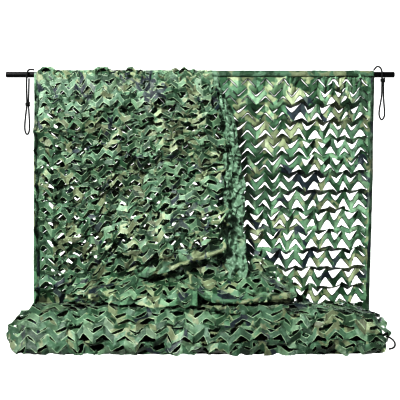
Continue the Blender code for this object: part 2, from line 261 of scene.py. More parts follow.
        # along the rows: the copy below each line, then the copy above where it is another
        for p in (0, 1):
            put(be[:, p:-1:2], be[:, p + 1 :: 2][:, : be[:, p:-1:2].shape[1]], 1.0, "edge")
            a, b = ab[:, p:-1:2], ab[:, p + 1 :: 2][:, : ab[:, p:-1:2].shape[1]]
            other = (a != be[:, p:-1:2]) | (b != be[:, p + 1 :: 2][:, : be[:, p:-1:2].shape[1]])
            put(a[other], b[other], 1.0, "edge")
        for p in (0, 1):
            top, low = be[p:-1:2], ab[p + 1 :: 2]
            m = min(len(top), len(low))
            put(top[:m], low[:m], 1.0, "edge")
        for p in (0, 1):
            top, low = be[p:-1:2], ab[p + 1 :: 2]
            m = min(len(top), len(low))
            put(top[:m, :-1], low[:m, 1:], 0.7, "shear")
            put(top[:m, 1:], low[:m, :-1], 0.7, "shear")
        for p in (0, 1, 2, 3):
            for ids, first in ((be, True), (ab, False)):
                a, b = ids[:, p:-2:4], ids[:, p + 2 :: 4]
                m = min(a.shape[1], b.shape[1])
                a, b = a[:, :m], b[:, :m]
                if not first:
                    mid = ids[:, p + 1 :: 4][:, :m] != be[:, p + 1 :: 4][:, :m]
                    a, b = a[mid], b[mid]
                put(a, b, None, "bend")
        for p in (0, 1, 2, 3):
            mid_ok = ab == be
            a, b = be[p:-2:4], ab[p + 2 :: 4]
            m = min(len(a), len(b))
            ok = mid_ok[p + 1 :: 4][:m]
            put(a[:m][ok], b[:m][ok], None, "curl")
        self.sets = sets


def settle(sheet, x, pinned, steps, gravity=0.0, bend=0.12, damp=0.9, hold=None, push=None, inner=2, curl=None, ease=1.0):
    """Moves the cloth's points x until its links keep their flat lengths; push keeps them off things.

    curl is how much the strips curl across by themselves, as a share of their width; ease is the share of
    its flat size that the cloth is drawn in to, for all of it or for each point."""
    x = x.astype(np.float32)
    before = x.copy()
    free = np.ones(sheet.n, np.float32)
    free[pinned] = 0
    target = x[pinned].copy()
    sets = []
    for a, b, rest, stiff, kind in sheet.sets:
        k = bend if stiff is None else stiff
        wa, wb = free[a], free[b]
        tot = wa + wb
        keep = tot > 0
        a, b, rest, wa, wb, tot = a[keep], b[keep], rest[keep], wa[keep], wb[keep], tot[keep]
        rest = rest * np.broadcast_to(ease, free.shape)[a, None]
        if kind == "curl" and curl is not None:
            rest = rest * (1 - curl[a, None])
        sets.append((a, b, rest, (k * wa / tot)[:, None], (k * wb / tot)[:, None]))
    g = np.array([0, 0, -gravity], np.float32)
    for step in range(steps):
        move = (x - before) * damp
        top = np.abs(move).max()
        if top > 0.02:
            np.clip(move, -0.02, 0.02, out=move)
        before = x.copy()
        x += move
        x += g * free[:, None]
        for _ in range(inner):
            for a, b, rest, ka, kb in sets:
                d = x[b] - x[a]
                dist = np.sqrt(np.einsum("ij,ij->i", d, d))[:, None] + 1e-9
                d *= (dist - rest) / dist
                x[a] += ka * d
                x[b] -= kb * d
            if hold is not None:
                ids, goal, k = hold
                x[ids] += (goal - x[ids]) * k
            x[pinned] = target
        if push is not None:
            push(x, before, step / steps)
            x[pinned] = target
    return x


def soft_noise(p, seed, scale):
    """Smooth noise from a few sines, about -1 to 1, for points p (n, k)."""
    rng = np.random.default_rng(seed)
    out = np.zeros(len(p))
    for _ in range(7):
        k = rng.normal(size=p.shape[1]) * 2 * math.pi / scale / math.sqrt(p.shape[1])
        out += np.sin(p @ k + rng.uniform(0, 2 * math.pi))
    return out / 3.2


def make_piece(name, sheet, x, mat, seed=0.0, shade=True):
    mesh = bpy.data.meshes.new(name)
    mesh.vertices.add(sheet.n)
    mesh.vertices.foreach_set("co", np.asarray(x, np.float32).ravel())
    q = sheet.quads
    mesh.loops.add(q.size)
    mesh.loops.foreach_set("vertex_index", q.ravel().astype(np.int32))
    mesh.polygons.add(len(q))
    mesh.polygons.foreach_set("loop_start", np.arange(0, q.size, 4, dtype=np.int32))
    mesh.update(calc_edges=True)
    uv = mesh.uv_layers.new(name="cloth")
    flat = sheet.flat[q.ravel()] + np.array([seed * 3.17, seed * 1.93])
    uv.data.foreach_set("uv", flat.astype(np.float32).ravel())
    rim = mesh.attributes.new("rim", "FLOAT", "POINT")
    rim.data.foreach_set("value", sheet.rim)
    # A random tone for each leg of the net, which the print uses as painted shade and painted highlight for how each
    # leaf is tilted to the light.
    leaf_shade = mesh.attributes.new("leaf_shade", "FLOAT", "FACE")
    tone = np.random.default_rng(int(seed * 7) + 1).uniform(-1, 1, sheet.leg_count)
    leaf_shade.data.foreach_set("value", tone[sheet.leg].astype(np.float32))
    mesh.validate()
    mesh.shade_smooth()
    mesh.set_sharp_from_angle(angle=math.radians(26))
    return put_piece(name, mesh, mat)


def put_piece(name, mesh, mat):
    obj = bpy.data.objects.new(name, mesh)
    bpy.context.scene.collection.objects.link(obj)
    mesh.materials.append(mat)
    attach(obj, "root")
    return obj


def make_grid(name, p, uv, mat, closed=False):
    """A piece from a grid of points (rows, columns, 3) and its flat coordinates; closed joins last column to first."""
    nj, ni = p.shape[:2]
    ids = np.arange(nj * ni).reshape(nj, ni)
    right = np.roll(ids, -1, axis=1) if closed else ids[:, 1:]
    left = ids if closed else ids[:, :-1]
    quads = np.stack([left[:-1], left[1:], right[1:], right[:-1]], -1).reshape(-1, 4)
    faces = [tuple(int(i) for i in q) for q in quads]
    if closed:
        half = ni // 2
        for j in (0, nj - 1):
            row = [int(i) for i in ids[j]]
            for k in range(half - 1):
                cap = (row[k], row[k + 1], row[ni - 2 - k], row[ni - 1 - k])
                faces.append(cap if j == 0 else cap[::-1])
    mesh = bpy.data.meshes.new(name)
    mesh.from_pydata([tuple(map(float, q)) for q in p.reshape(-1, 3)], [], faces)
    layer = mesh.uv_layers.new(name="cloth")
    order = np.empty(len(mesh.loops), np.int32)
    mesh.loops.foreach_get("vertex_index", order)
    layer.data.foreach_set("uv", uv.reshape(-1, 2)[order].astype(np.float32).ravel())
    rim = mesh.attributes.new("rim", "FLOAT", "POINT")
    rim.data.foreach_set("value", np.zeros(nj * ni, np.float32))
    mesh.shade_smooth()
    return put_piece(name, mesh, mat)


def strip_solid(name, p, flat, mat, seed, front=0.0022, back=0.0018, pucker=0.0012):
    """A thin closed strip about the points p (along it, across it, 3), with the flat coordinates flat."""
    along, across = np.gradient(p, axis=0), np.gradient(p, axis=1)
    n = np.cross(along, across)
    n /= np.linalg.norm(n, axis=2)[:, :, None] + 1e-9
    if n[:, :, 1].mean() > 0:
        n = -n
    wave = pucker * soft_noise(flat.reshape(-1, 2), int(seed * 10) + 7, 0.030).reshape(flat.shape[:2])[:, :, None]
    m = p.shape[1]
    inset = np.minimum(np.arange(m), m - 1 - np.arange(m)) > 0
    swell = np.where(inset, 1.0, 0.45)[None, :, None]
    outer = p + n * (front * swell + wave)
    under = p - n * (back * swell - wave)
    ring = np.concatenate([outer, under[:, ::-1]], axis=1)
    uv = np.concatenate([flat, flat[:, ::-1] + 0.05], axis=1) + np.array([seed * 3.17, seed * 1.93])
    obj = make_grid(name, ring, uv, mat, closed=True)
    wide = float(np.linalg.norm(np.diff(p, axis=1), axis=2).sum(1).mean())
    long = float(np.linalg.norm(np.diff(p, axis=0), axis=2).sum(0).mean())
    return obj, (wide, long)


def hem_strip(name, sheet, x, ids, mat, seed, blur=2, **how):
    """A hem folded over the edge of a cloth. ids: the cloth's points, along the hem by across it."""
    p = np.asarray(x, float)[ids]
    for _ in range(blur):
        p[1:-1] = (p[:-2] + 2 * p[1:-1] + p[2:]) / 4
    return strip_solid(name, p, sheet.flat[ids], mat, seed, **how)


# ---------------------------------------------------------------- materials
def srgb(r, g, b):
    def one(c):
        c /= 255
        return c / 12.92 if c <= 0.04045 else ((c + 0.055) / 1.055) ** 2.4

    return (one(r), one(g), one(b), 1.0)


KHAKI = srgb(114, 122, 99)
GREEN = srgb(82, 109, 89)
DEEP = srgb(48, 76, 55)
NAVY = srgb(40, 52, 58)


class Nodes:
    def __init__(self, name):
        self.mat = bpy.data.materials.new(name)
        self.mat.use_nodes = True
        self.t = self.mat.node_tree
        self.shader = self.t.nodes["Principled BSDF"]

    def new(self, kind, **props):
        node = self.t.nodes.new(kind)
        for k, v in props.items():
            setattr(node, k, v)
        return node

    def link(self, a, b):
        self.t.links.new(a, b)

    def noise(self, vector, scale, detail=2.0, rough=0.5, distort=0.0):
        n = self.new("ShaderNodeTexNoise", noise_dimensions="3D")
        n.inputs["Scale"].default_value = scale
        n.inputs["Detail"].default_value = detail
        n.inputs["Roughness"].default_value = rough
        n.inputs["Distortion"].default_value = distort
        self.link(vector, n.inputs["Vector"])
        return n.outputs["Fac"]

    def math(self, op, a, b=None, clamp=False):
        n = self.new("ShaderNodeMath", operation=op, use_clamp=clamp)
        for k, v in enumerate((a, b)):
            if v is None:
                continue
            if isinstance(v, (int, float)):
                n.inputs[k].default_value = v
            else:
                self.link(v, n.inputs[k])
        return n.outputs[0]

    def step(self, value, low, high):
        n = self.new("ShaderNodeMapRange", interpolation_type="SMOOTHSTEP", clamp=True)
        self.link(value, n.inputs["Value"])
        n.inputs["From Min"].default_value = low
        n.inputs["From Max"].default_value = high
        return n.outputs["Result"]

    def mix(self, fac, a, b, blend="MIX"):
        n = self.new("ShaderNodeMix", data_type="RGBA", blend_type=blend)
        for sock, v in ((n.inputs["Factor"], fac), (n.inputs[6], a), (n.inputs[7], b)):
            if isinstance(v, (int, float)):
                sock.default_value = v
            elif isinstance(v, tuple):
                sock.default_value = v
            else:
                self.link(v, sock)
        return n.outputs[2]


def cloth_material(name, tint=1.0, offset=(0.0, 0.0), amounts=(0.53, 0.56, 0.55), shine=0.45, crinkle_size=55.0, crinkle_deep=0.006, patch=None, leaf_shade_amount=0.42, frayed=0.70, edges=(176, 194, 168), wash=0.0, rim_wide=0.50):
    """amounts: thresholds of khaki, deep green and navy; higher means less of it. patch: middle, radii and
    gain of a more khaki stretch of the print, paler with a positive gain; a negative gain darkens it, which on
    the pile's left end is painted shade. leaf_shade_amount: how far each leg of the net is lifted or lowered by
    a random tone of its own, painted shade for how each leaf is tilted to the light; lighter legs are also
    washed towards a pale grey khaki as a painted highlight. frayed, edges and rim_wide: strength, colour and
    start of a painted rim along the cut edges: by default a pale painted highlight where light catches them, on
    the back a dark painted shadow line. wash: share of a plain grey green."""
    n = Nodes(name)
    uv = n.new("ShaderNodeUVMap", uv_map="cloth").outputs["UV"]
    mp = n.new("ShaderNodeMapping")
    mp.inputs["Location"].default_value = (offset[0], offset[1], 0)
    n.link(uv, mp.inputs["Vector"])
    p = mp.outputs["Vector"]
    # the print: soft-edged only by a hair, on coordinates pulled about by a slow noise
    warp = n.new("ShaderNodeTexNoise", noise_dimensions="3D")
    warp.inputs["Scale"].default_value = 14.0
    warp.inputs["Detail"].default_value = 1.0
    n.link(p, warp.inputs["Vector"])
    sub = n.new("ShaderNodeVectorMath", operation="SUBTRACT")
    n.link(warp.outputs["Color"], sub.inputs[0])
    sub.inputs[1].default_value = (0.5, 0.5, 0.5)
    sca = n.new("ShaderNodeVectorMath", operation="SCALE")
    n.link(sub.outputs[0], sca.inputs[0])
    sca.inputs["Scale"].default_value = 0.065
    add = n.new("ShaderNodeVectorMath", operation="ADD")
    n.link(p, add.inputs[0])
    n.link(sca.outputs[0], add.inputs[1])
    q = add.outputs[0]

    def shifted(dx, dy, sx=1.0, sy=1.0):
        m = n.new("ShaderNodeMapping")
        m.inputs["Location"].default_value = (dx, dy, dx + dy)
        m.inputs["Scale"].default_value = (sx, sy, 1)
        n.link(q, m.inputs["Vector"])
        return m.outputs["Vector"]

    a_khaki, a_deep, a_navy = amounts
    khaki_noise = n.noise(shifted(1.3, 4.1, 1.0, 0.8), 10.5, 2.5, 0.55)
    spot = None
    if patch:
        (cu, cw), (ru, rw), gain = patch
        m = n.new("ShaderNodeMapping", vector_type="POINT")
        m.inputs["Location"].default_value = (-cu / ru, -cw / rw, 0)
        m.inputs["Scale"].default_value = (1 / ru, 1 / rw, 0)
        n.link(p, m.inputs["Vector"])
        far = n.new("ShaderNodeVectorMath", operation="LENGTH")
        n.link(m.outputs["Vector"], far.inputs[0])
        spot = n.math("SUBTRACT", 1.0, n.step(far.outputs["Value"], 0.3, 1.2))
        khaki_noise = n.math("ADD", khaki_noise, n.math("MULTIPLY", spot, 0.05))
    khaki = n.step(khaki_noise, a_khaki - 0.012, a_khaki + 0.012)
    deep = n.step(n.noise(shifted(7.7, 2.3, 0.9, 1.0), 13.0, 2.5, 0.55), a_deep - 0.014, a_deep + 0.014)
    ridge = n.math("ABSOLUTE", n.math("SUBTRACT", n.noise(shifted(3.9, 9.2, 1.0, 0.75), 7.2, 1.0, 0.4), 0.5))
    near = n.math("SUBTRACT", 1.0, n.step(ridge, 0.052, 0.060))
    where = n.step(n.noise(shifted(5.5, 6.1), 6.5, 1.0, 0.5), a_navy + 0.016, a_navy + 0.026)
    navy = n.math("MULTIPLY", near, where)
    colour = n.mix(khaki, GREEN, KHAKI)
    colour = n.mix(deep, colour, DEEP)
    colour = n.mix(navy, colour, NAVY)
    if wash:
        colour = n.mix(wash, colour, srgb(92, 108, 95))
    # each leg's random tone is painted light: lighter legs are washed towards a pale grey khaki as a painted
    # highlight, and further down every leg is made lighter or darker as painted shade for its tilt
    leaf_shade = n.new("ShaderNodeAttribute", attribute_name="leaf_shade").outputs["Fac"]
    colour = n.mix(n.math("MULTIPLY", n.step(leaf_shade, 0.0, 1.0), 0.35), colour, srgb(116, 124, 108))
    # print wear and dye variation
    fade = n.noise(p, 26.0, 4.0, 0.6)
    tone = n.new("ShaderNodeMapRange", clamp=True)
    n.link(fade, tone.inputs["Value"])
    tone.inputs["From Min"].default_value = 0.3
    tone.inputs["From Max"].default_value = 0.7
    tone.inputs["To Min"].default_value = 0.80
    tone.inputs["To Max"].default_value = 1.18
    toned = n.new("ShaderNodeVectorMath", operation="SCALE")
    n.link(colour, toned.inputs[0])
    strength = n.math("MULTIPLY", tone.outputs[0], n.math("ADD", 1.0, n.math("MULTIPLY", leaf_shade, leaf_shade_amount)))
    # a positive gain makes the patch's stretch paler; a negative gain darkens it, painted shade on the pile's left end
    if patch:
        strength = n.math("MULTIPLY", strength, n.math("ADD", 1.0, n.math("MULTIPLY", spot, patch[2])))
    n.link(strength, toned.inputs["Scale"])
    # the weave: two fine sets of threads
    weave_uv = n.new("ShaderNodeMapping")
    weave_uv.inputs["Scale"].default_value = (1.0, 1.0, 1.0)
    n.link(p, weave_uv.inputs["Vector"])
    threads = []
    for direction in ("X", "Y"):
        wv = n.new("ShaderNodeTexWave", wave_type="BANDS", bands_direction=direction, wave_profile="SIN")
        wv.inputs["Scale"].default_value = 180.0
        wv.inputs["Distortion"].default_value = 0.6
        wv.inputs["Detail"].default_value = 1.0
        n.link(weave_uv.outputs[0], wv.inputs["Vector"])
        threads.append(wv.outputs["Fac"])
    weave = n.math("MAXIMUM", threads[0], threads[1])
    # cut edges: a painted rim, by default pale as a painted highlight where light catches the cut edge, broken up by a
    # fine noise
    rim = n.new("ShaderNodeAttribute", attribute_name="rim").outputs["Fac"]
    fray = n.math("ADD", rim, n.math("MULTIPLY", n.math("SUBTRACT", n.noise(p, 300.0, 2.0, 0.6), 0.5), 0.25))
    edge = n.step(fray, rim_wide, rim_wide + 0.35)
    with_painted_rim = n.mix(n.math("MULTIPLY", edge, frayed), toned.outputs[0], srgb(*edges))
    if tint != 1.0:
        dark = n.new("ShaderNodeVectorMath", operation="SCALE")
        n.link(with_painted_rim, dark.inputs[0])
        dark.inputs["Scale"].default_value = tint
        with_painted_rim = dark.outputs[0]
    n.link(with_painted_rim, n.shader.inputs["Base Color"])
    rough = n.new("ShaderNodeMapRange", clamp=True)
    n.link(fade, rough.inputs["Value"])
    rough.inputs["From Min"].default_value = 0.3
    rough.inputs["From Max"].default_value = 0.7
    rough.inputs["To Min"].default_value = 0.36
    rough.inputs["To Max"].default_value = 0.54
    n.link(rough.outputs[0], n.shader.inputs["Roughness"])
    n.shader.inputs["Specular IOR Level"].default_value = shine
    n.shader.inputs["Sheen Weight"].default_value = 0.12
    n.shader.inputs["Sheen Roughness"].default_value = 0.5
    crinkle = n.noise(p, crinkle_size, 3.0, 0.55, 0.6)
    height = n.math("ADD", n.math("MULTIPLY", crinkle, 1.0), n.math("MULTIPLY", weave, 0.05))
    bump = n.new("ShaderNodeBump")
    bump.inputs["Strength"].default_value = 0.60
    bump.inputs["Distance"].default_value = crinkle_deep
    n.link(height, bump.inputs["Height"])
    n.link(bump.outputs[0], n.shader.inputs["Normal"])
    return n.mat


def rod_material():
    n = Nodes("rod_satin_black")
    co = n.new("ShaderNodeTexCoord").outputs["Object"]
    speck = n.noise(co, 240.0, 3.0, 0.6)
    long = n.new("ShaderNodeMapping")
    long.inputs["Scale"].default_value = (3.0, 90.0, 90.0)
    n.link(co, long.inputs["Vector"])
    scuff = n.step(n.noise(long.outputs[0], 6.0, 4.0, 0.7), 0.60, 0.78)
    n.link(n.mix(scuff, srgb(9, 9, 10), srgb(28, 28, 30)), n.shader.inputs["Base Color"])
    n.link(n.math("ADD", n.math("MULTIPLY", speck, 0.16), 0.42), n.shader.inputs["Roughness"])
    n.shader.inputs["Specular IOR Level"].default_value = 0.25
    bump = n.new("ShaderNodeBump")
    bump.inputs["Strength"].default_value = 0.15
    bump.inputs["Distance"].default_value = 0.0006
    n.link(speck, bump.inputs["Height"])
    n.link(bump.outputs[0], n.shader.inputs["Normal"])
    return n.mat


def cord_material():
    n = Nodes("cord_braid_black")
    co = n.new("ShaderNodeTexCoord").outputs["Object"]
    wv = n.new("ShaderNodeTexWave", wave_type="BANDS", bands_direction="DIAGONAL", wave_profile="SIN")
    wv.inputs["Scale"].default_value = 130.0
    wv.inputs["Distortion"].default_value = 2.0
    n.link(co, wv.inputs["Vector"])
    fuzz = n.noise(co, 900.0, 2.0, 0.6)
    n.link(n.mix(n.math("MULTIPLY", wv.outputs["Fac"], fuzz), srgb(6, 8, 7), srgb(20, 25, 23)), n.shader.inputs["Base Color"])
    n.shader.inputs["Roughness"].default_value = 0.78
    n.shader.inputs["Sheen Weight"].default_value = 0.2
    bump = n.new("ShaderNodeBump")
    bump.inputs["Strength"].default_value = 0.6
    bump.inputs["Distance"].default_value = 0.0008
    n.link(wv.outputs["Fac"], bump.inputs["Height"])
    n.link(bump.outputs[0], n.shader.inputs["Normal"])
    return n.mat


CLOTH = cloth_material("net_print", tint=0.97, leaf_shade_amount=0.50, amounts=(0.535, 0.53, 0.55))
# on the back the rim along the cut edges is near black: a painted shadow line beside every slit
CLOTH_BACK = cloth_material("net_print_back", tint=1.22, amounts=(0.530, 0.54, 0.58), patch=((4.14, 2.10), (0.42, 0.30), 0.20), edges=(12, 24, 16), frayed=0.92, rim_wide=0.30)
CLOTH_DARK = cloth_material("net_print_inner", tint=0.98, offset=(2.2, 1.1))
# a darker copy of the print for the inner fold layer and the inner slack: painted shade for layers that lie behind
# others
CLOTH_SHADE = cloth_material("net_print_middle_shaded", tint=0.90, offset=(2.2, 1.1), amounts=(0.53, 0.535, 0.55))
# the pile's print, with a darker stretch over its left end: painted shade where the key light falls on the end face
CLOTH_PILE = cloth_material("net_print_pile", tint=0.84, offset=(4.4, 0.7), amounts=(0.575, 0.54, 0.57), frayed=0.62, patch=((17.12, 8.66), (0.16, 0.50), -0.26))
HEM_RIGHT = cloth_material("hem_right_print", tint=0.46, offset=(2.3, 4.7), amounts=(0.58, 0.50, 0.50))
HEM_TOP = cloth_material("hem_top_print", tint=0.80, offset=(5.3, 3.7), amounts=(0.575, 0.52, 0.55))
HEM_DARK = cloth_material("hem_dark_print", tint=0.62, offset=(1.3, 5.7), amounts=(0.62, 0.50, 0.50))
HEM_SLACK = cloth_material("hem_slack_print", tint=0.92, offset=(3.3, 6.7), amounts=(0.50, 0.56, 0.56))
HEM_KHAKI = cloth_material("hem_khaki_print", tint=0.98, offset=(7.3, 1.7), amounts=(0.42, 0.62, 0.60))
# the uncut band: a plainer grey green print, made much lighter by its tint as painted light against the shade it hangs
# in
BAND_LIT = cloth_material("band_print_lit", wash=0.7, tint=1.38, offset=(6.1, 2.9), amounts=(0.66, 0.60, 0.64), crinkle_size=60.0, crinkle_deep=0.005)
ROD_MAT = rod_material()
CORD_MAT = cord_material()


# ---------------------------------------------------------------- the back: the hang that carries the rest
# Where the peaks of the slit columns stand, at the top and at the foot of the hang, from the rod's middle.
BACK_COLUMNS = ("number", "x_top", "x_foot")
BACK = (
    (-10, -0.668, -0.668),
    (-5, -0.272, -0.262),
    (-1, 0.046, 0.060),
    (0, 0.127, 0.135),
    (1, 0.213, 0.206),
    (2, 0.291, 0.278),
    (3, 0.373, 0.346),
    (4, 0.446, 0.411),
    (5, 0.528, 0.483),
    (6, 0.593, 0.548),
    (7, 0.651, 0.628),
    (8, 0.713, 0.692),
)
# Mean height of each row of peaked slits, the first just under the top hem.
BACK_ROW_Z = (1.110, 1.034, 0.962, 0.880, 0.801, 0.729, 0.650, 0.565, 0.479, 0.390, 0.308, 0.222, 0.147, 0.080)
BACK_RADIUS = ROD_R + 0.0022
HEM_LEAD = 0.030  # cloth behind the rod, above the first line


def back_open(x, z):
    """How far the slits hang open: little at the upper left, much to the right and below."""
    right = smooth((x - 0.30) / 0.18) * smooth((1.14 - z) / 0.06)
    low = smooth((0.86 - z) / 0.26)
    left = smooth((-0.60 - x) / 0.06)
    foot = smooth((0.66 - z) / 0.14) * (1 - right)
    torn = np.exp(-(((x - 0.52) / 0.11) ** 2) - ((z - 0.965) / 0.07) ** 2)
    return np.clip(0.08 + 0.52 * right + 0.14 * low + 0.24 * foot + 0.8 * left + 0.30 * torn, 0, 1)


def back_sheet():
    s = Sheet(cols=18, rows=14, band_t=HEM_LEAD, band_r=0.020, tail=0.050, first=2)
    col = np.array([r[0] for r in BACK], float)
    u_col = s.peak0 + (col + 10) * PITCH
    u, w = s.flat[:, 0], s.flat[:, 1]
    knots = np.concatenate([[0.0], u_col, [s.width]])
    knot_top = np.concatenate([[-0.740], [r[1] for r in BACK], [0.776]])
    top = np.interp(u, knots, knot_top)
    foot = np.interp(u, knots, np.concatenate([[-0.740], [r[2] for r in BACK], [0.752]]))
    # mean height by distance along the cloth: over the rod, then the measured rows
    arc = BACK_RADIUS * math.pi / 2
    w_top = HEM_LEAD + ROW - (ROD_Z - BACK_ROW_Z[0]) - arc  # the cloth at the top of the rod
    front = w_top + arc
    w_rows = np.concatenate([[front], HEM_LEAD + ROW * np.arange(1, 15)])
    z_rows = np.concatenate([[ROD_Z], np.array(BACK_ROW_Z)])
    z = np.interp(w, w_rows, z_rows)
    turn = (w - w_top) / BACK_RADIUS  # 0 at the top of the rod
    wrapped = w < front
    turn = np.clip(turn, -math.pi / 2, math.pi / 2)
    z = np.where(wrapped, ROD_Z + BACK_RADIUS * np.cos(turn), z)
    behind = w < w_top - arc
    z = np.where(behind, ROD_Z - (w_top - arc - w), z)
    y = np.where(wrapped, ROD_Y - BACK_RADIUS * np.sin(turn), ROD_Y - BACK_RADIUS)
    y = np.where(behind, ROD_Y + BACK_RADIUS, y)
    x = top + (foot - top) * np.clip((ROD_Z - z) / 1.0, 0, 1)
    t = smooth((ROD_Z - 0.03 - z) / 0.4)
    mid_y = ROD_Y - 0.019
    hang = z < ROD_Z - 0.012
    y = np.where(hang, y + (mid_y - y) * t + 0.007 * t * np.sin(2 * math.pi * x / 0.31 + 3 * z), y)
    # rows pull apart: the strips under peaked slits sink at one end, the next rise
    o = back_open(x, z) * (~wrapped)
    o = np.clip(o + (0.16 + 0.20 * o) * soft_noise(np.stack([x, z], 1), 5, 0.12), 0, 1) * smooth((ROD_Z - 0.045 - z) / 0.06)
    line = s.strip + s.t
    phase = np.mod(line, 2.0)  # 0 at peaked lines, 1 at dipped ones
    gap = 0.0090 + 0.0230 * o
    z = z + np.where(hang, (0.5 - np.abs(phase - 1.0)) * gap * smooth((ROD_Z - 0.03 - z) / 0.16), 0.0)
    behind_fold = smooth((x - 0.02) / 0.10)
    first_row = smooth((ROD_Z - 0.035 - z) / 0.08)
    lean, rise = s.flaps(7, first_row * (0.50 + 0.60 * o) * (0.5 + 0.5 * behind_fold), first_row * (0.30 + 0.35 * o), together=0.80, bias=-0.50, least=0.40, yaw=0.55, bulge=0.008)
    lean = lean + s.tilts(12, 0.30) * first_row * o
    wander = first_row * (0.15 + 0.85 * o) * smooth((s.width - u - 0.02) / 0.06) * smooth((u - 0.02) / 0.06)
    x = x + wander * 0.012 * soft_noise(s.flat, 8, 0.075)
    z = z + wander * 0.010 * soft_noise(s.flat, 9, 0.075)
    y = y + lean + 0.002 * hang * soft_noise(s.flat, 3, 0.05)
    z = z + rise
    pos = np.stack([x, y, z], 1)
    pins = np.zeros(s.n, bool)
    pins[wrapped & (w < front - 0.004)] = True
    pins[s.above[-1]] = True
    for ids in (s.above, s.below):
        pins[ids[:, 0]] = True
        pins[ids[:, -1]] = True

    def push(x, before, t):
        low = x[:, 2] < ROD_Z - 0.03
        x[low, 1] = np.clip(x[low, 1], mid_y - 0.042, mid_y + 0.036)
        keep_off_rod(x, BACK_RADIUS - 0.0005)

    ids = s.bridges
    goal = pos[ids].astype(np.float32)
    k = np.array([[0.25, 0.10, 0.25]], np.float32)
    curl = (0.02 + 0.07 * o + 0.36 * smooth((-0.60 - x) / 0.05) * smooth((0.82 - z) / 0.15)).astype(np.float32)
    narrow = (np.interp(u + 0.04, knots, knot_top) - np.interp(u - 0.04, knots, knot_top)) / 0.08
    ease = np.clip(narrow + 0.17, 0.82, 1.0).astype(np.float32)  # the gathered columns at the right are drawn in
    pos = settle(s, pos, np.where(pins)[0], 40, gravity=0.00002, bend=0.08, damp=0.7, hold=(ids, goal, k), push=push, inner=5, curl=curl, ease=ease)
    pos = s.flatten(pos, 0.5 * first_row, 1)
    # the tongues of the lying strips hang over to the right, so one leg of every slit opens wider
    edge = (1 - s.t) * s.top_mask + s.t * s.low_mask
    pos[:, 0] += np.where(s.strip % 2 == 0, 0.0065, -0.0030) * edge * smooth((o - 0.30) / 0.30) * first_row
    return s, pos


def keep_off_rod(x, gap):
    """Points near the rod are moved out to gap from its axis."""
    dy, dz = x[:, 1] - ROD_Y, x[:, 2] - ROD_Z
    r = np.sqrt(dy * dy + dz * dz) + 1e-9
    near = r < gap
    x[near, 1] = ROD_Y + dy[near] / r[near] * gap
    x[near, 2] = ROD_Z + dz[near] / r[near] * gap


s_back, x_back = back_sheet()
back = make_piece("net_back", s_back, x_back, CLOTH_BACK, seed=1.0)
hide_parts("net")

hem, size = hem_strip("net_hem_right", s_back, x_back, s_back.above[2:, -3:], HEM_RIGHT, 8.0)


def top_hem():
    """The tape along the top of the right half: over the rod and just below it."""
    across = np.linspace(-0.012, 0.037, 11)  # 0 at the top of the rod
    xs, w = np.meshgrid(np.linspace(0.022, 0.774, 190), across, indexing="ij")
    r = BACK_RADIUS + 0.0026
    turn = np.clip(w / r, -math.pi / 2, math.pi / 2)
    low = np.maximum(w - r * math.pi / 2, 0)
    sway = soft_noise(np.stack([xs.ravel(), w.ravel() * 0.3], 1), 95, 0.11).reshape(xs.shape)
    y = ROD_Y - r * np.sin(turn) - 0.0025 * low / 0.012 * (1 + sway)
    z = ROD_Z + r * np.cos(turn) - low + 0.0016 * sway * (w > 0.012)
    return np.stack([xs, y, z], -1), np.stack([xs, w], -1)


hem_p, hem_flat = top_hem()
hem, size = strip_solid("net_hem_top", hem_p, hem_flat, HEM_TOP, 9.0, front=0.0016, back=0.0010, pucker=0.0007)

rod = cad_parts["rod"]
rod.data.materials.clear()
rod.data.materials.append(ROD_MAT)


# ---------------------------------------------------------------- the front fold: two layers over the left half
# Lower edge of the fold: x, its height, and how far it stands in front of the rod.
FOLD_COLUMNS = ("x", "z", "out")
FOLD = (
    (-0.745, 0.100, 0.004),
    (-0.560, 0.105, 0.006),
    (-0.460, 0.125, 0.030),
    (-0.380, 0.185, 0.080),
    (-0.260, 0.258, 0.120),
    (-0.100, 0.306, 0.128),
    (0.030, 0.352, 0.120),
    (0.110, 0.372, 0.105),
)
# Right edge of the fold's cut cloth and of the uncut band beside it: height, the two x.
EDGE_COLUMNS = ("z", "cloth_x", "band_x")
EDGE = (
    (0.200, 0.110, 0.200),
    (0.300, 0.110, 0.198),
    (0.370, 0.112, 0.196),
    (0.500, 0.104, 0.194),
    (0.660, 0.108, 0.190),
    (0.820, 0.104, 0.176),
    (0.950, 0.088, 0.142),
    (1.050, 0.070, 0.104),
    (1.165, 0.052, 0.072),
)


def over_rod(w, lead, radius, drop_to, length):
    """(y, z) of cloth that starts behind the rod, goes over it and hangs in front, at distance w along it."""
    arc = math.pi * radius
    y = np.where(w < lead, radius, np.where(w < lead + arc, radius * np.cos((w - lead) / radius), -radius))
    z = np.where(w < lead, w - lead, np.where(w < lead + arc, radius * np.sin((w - lead) / radius), 0.0))
    hang = np.clip((w - lead - arc) / (length - lead - arc), 0, 1)
    return ROD_Y + y, ROD_Z + z + np.where(w > lead + arc, hang * (drop_to - ROD_Z), 0.0), hang


EASE = 0.90


